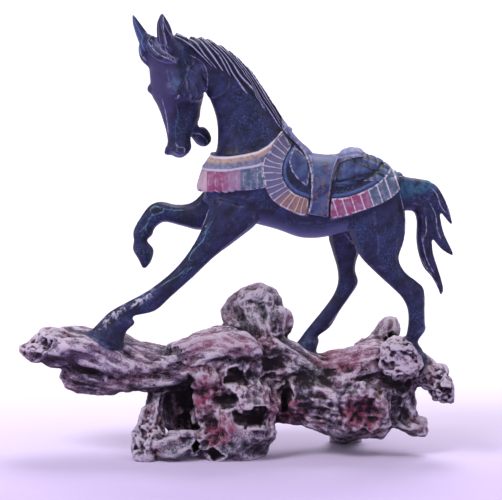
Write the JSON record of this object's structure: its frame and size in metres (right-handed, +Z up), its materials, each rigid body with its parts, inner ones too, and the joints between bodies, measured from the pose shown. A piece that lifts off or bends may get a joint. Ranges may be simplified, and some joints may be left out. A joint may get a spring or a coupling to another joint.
{
  "type": "carved horse figurine",
  "caption": "Carved and painted horse stepping on the gnarled root it is cut from, with one forefoot raised, a carved saddle and a breast collar.",
  "frame": {"origin": "on the ground, under the middle of the carving's bounding box", "axes": "-X is the way the horse walks and looks, -Y is its near (left) side, +Z is up"},
  "size_m": [0.4388, 0.1185, 0.4484],
  "materials": {
    "horse_on_root": "dark blue-black brushed paint on the horse, whitewashed mauve root"
  },
  "bodies": {
    "root": {"horse_on_root": "horse_on_root"}
  },
  "joints": []
}
